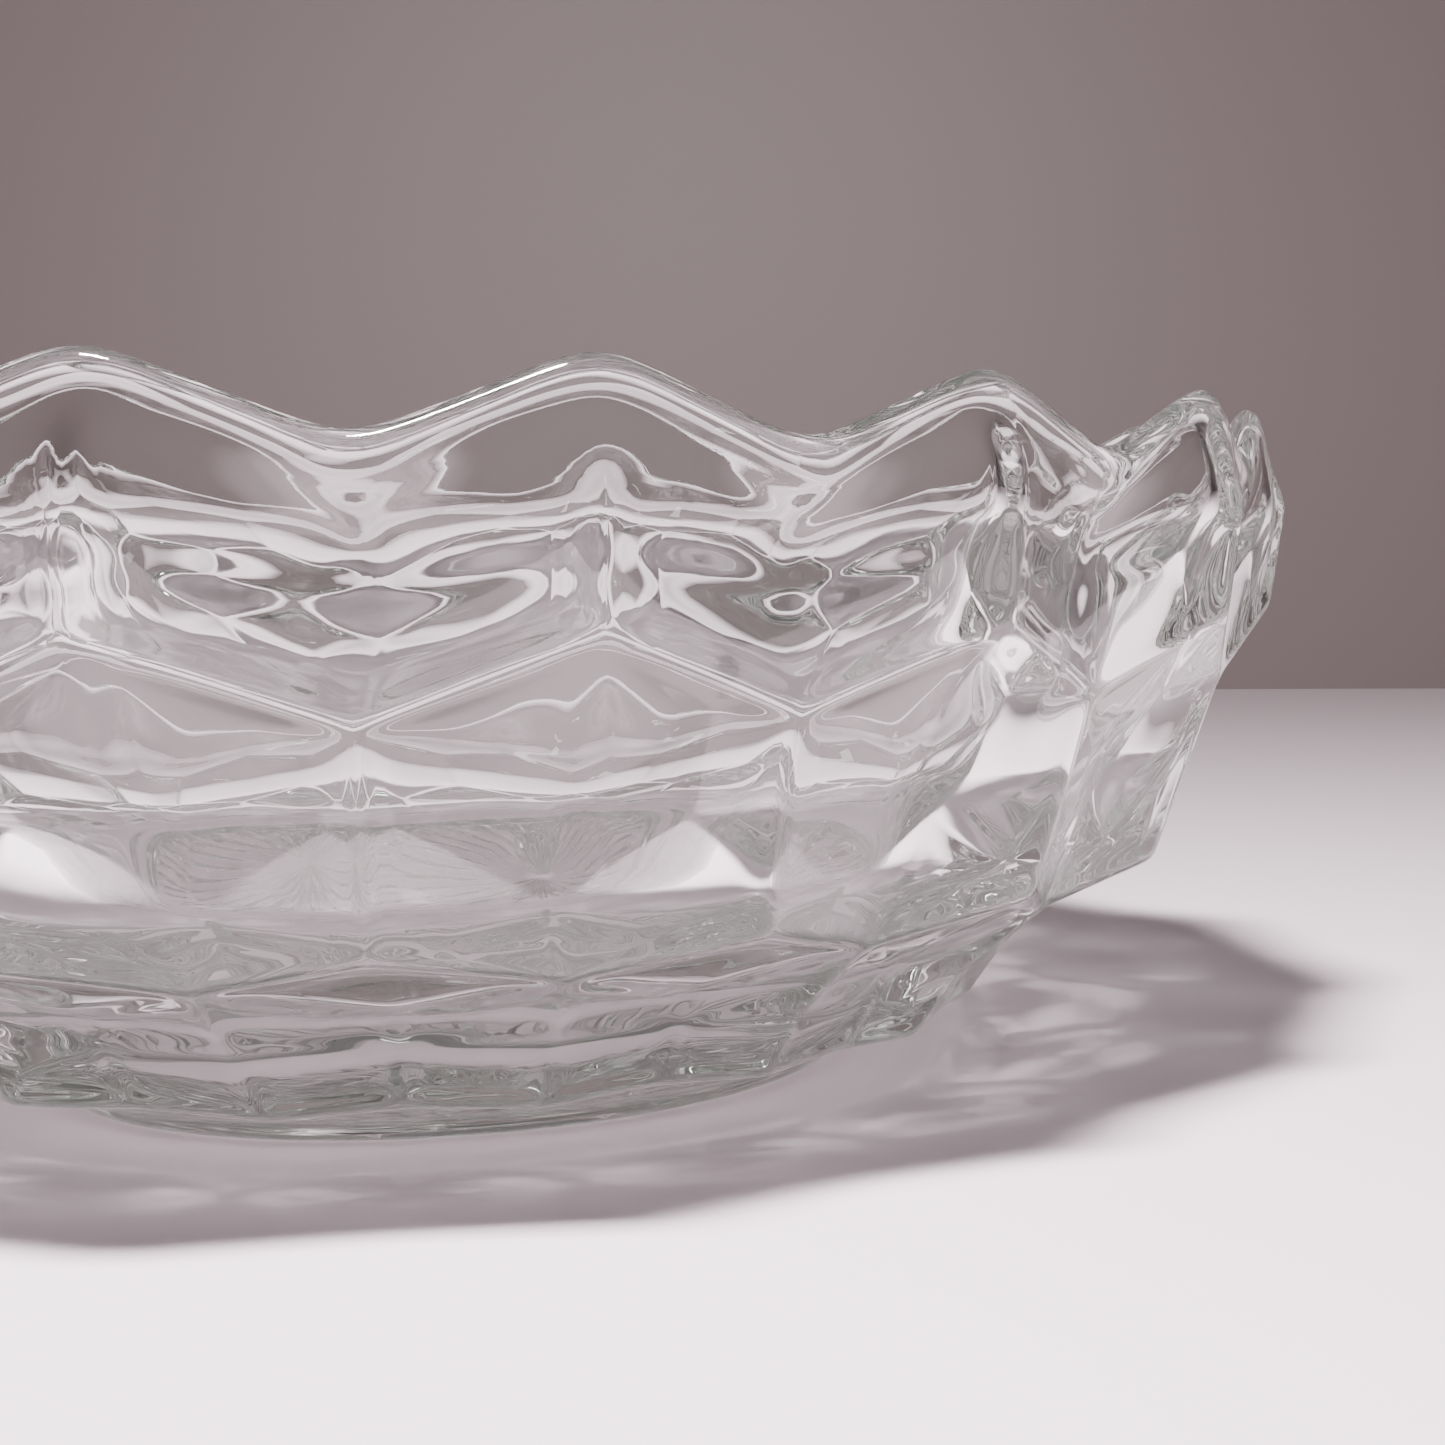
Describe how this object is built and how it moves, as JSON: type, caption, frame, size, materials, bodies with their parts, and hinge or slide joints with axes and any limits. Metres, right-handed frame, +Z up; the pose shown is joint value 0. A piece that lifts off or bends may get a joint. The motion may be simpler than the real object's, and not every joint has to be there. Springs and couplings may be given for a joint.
{
  "type": "pressed glass candy dish",
  "caption": "Oval clear pressed-glass candy dish with a stacked-cube pattern outside, a smooth inside, a zigzag rounded lip and a rayed star under a low ring foot.",
  "frame": {"origin": "middle of the flat rest face under the ring foot", "axes": "+Z up, +X along the dish's length, +Y across it"},
  "size_m": [0.1732, 0.1428, 0.0634],
  "materials": {
    "clear_glass": "gloss"
  },
  "bodies": {
    "root": {"dish": "clear_glass"}
  },
  "joints": []
}
